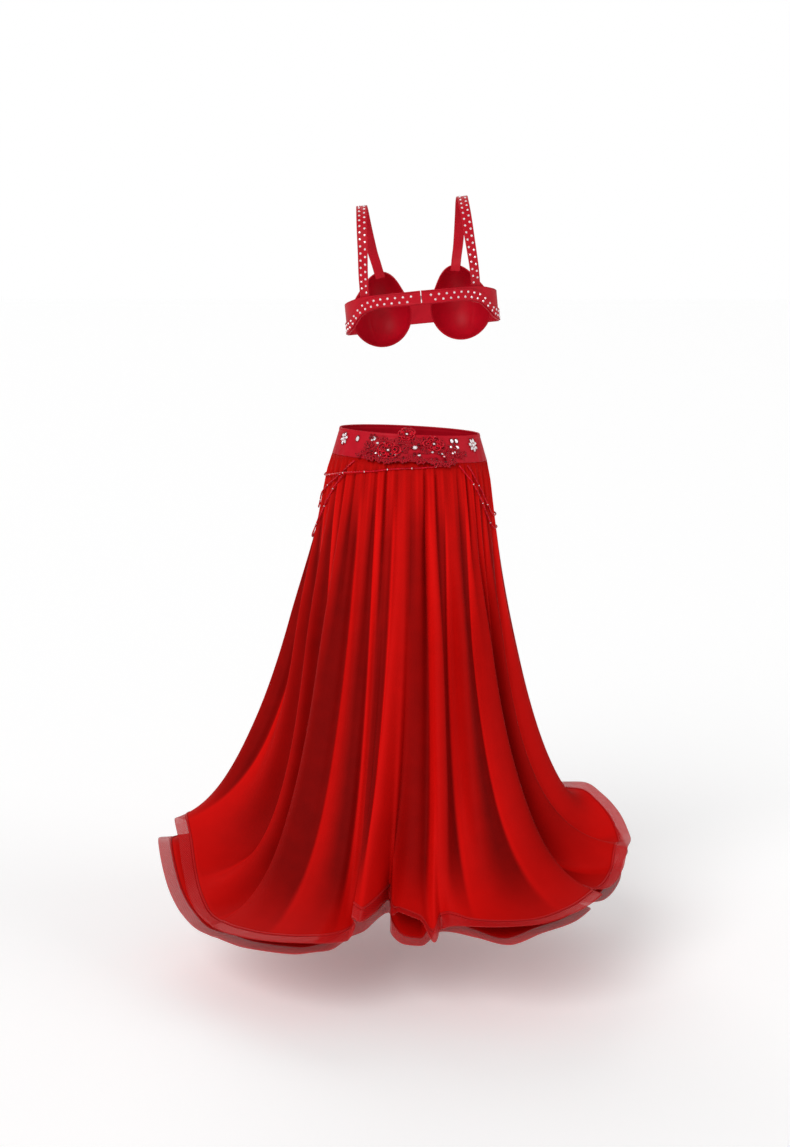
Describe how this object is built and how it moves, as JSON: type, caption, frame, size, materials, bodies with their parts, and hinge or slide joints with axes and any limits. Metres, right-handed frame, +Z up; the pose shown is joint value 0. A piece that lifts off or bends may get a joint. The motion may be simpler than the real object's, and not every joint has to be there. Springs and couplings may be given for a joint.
{
  "type": "belly dance costume of bra and long skirt, worn form",
  "caption": "Belly dance costume in its worn form: a banded bra with straps and a long gathered two-layer skirt with a swept, braid-edged hem on a beaded belt.",
  "frame": {"origin": "centre of the belt's top edge, where the wearer's hips carry the skirt", "axes": "+Z up, the wearer faces -Y, +X to the wearer's left"},
  "size_m": [0.919, 0.9139, 1.3383],
  "materials": {
    "satin": "stretch satin, soft sheen",
    "chiffon": "matt chiffon over an opaque layer",
    "braid": "sheer stiff horsehair braid, slightly glossy",
    "red_beads": "polished glass beads and cord",
    "crystal": "cut, foil-backed, bright",
    "steel": "satin"
  },
  "bodies": {
    "root": {"belt": "satin", "band_left": "satin", "band_right": "satin", "band_trim_left": "satin", "band_trim_right": "satin", "cup_left": "satin", "cup_right": "satin", "bridge": "satin", "strap_left": "satin", "strap_right": "satin", "skirt_top_back": "chiffon", "skirt_top_front": "chiffon", "skirt_under_back": "chiffon", "skirt_under_front": "chiffon", "braid_top_back": "braid", "braid_top_front": "braid", "braid_under_back": "braid", "braid_under_front": "braid", "flower_left": "red_beads", "flower_top": "red_beads", "flower_right": "red_beads", "leaves_left": "red_beads", "leaves_centre": "red_beads", "leaves_right": "red_beads", "leaves_far_right": "red_beads", "cluster_left": "red_beads", "swag_back": "red_beads", "swag_left_upper": "red_beads", "swag_left_lower": "red_beads", "swag_right_upper": "red_beads", "swag_right_lower": "red_beads", "crystal_centre": "crystal", "crystals_left": "crystal", "crystal_single_left": "crystal", "crystals_pair_right": "crystal", "crystals_right": "crystal", "back_hook": "steel"}
  },
  "joints": []
}
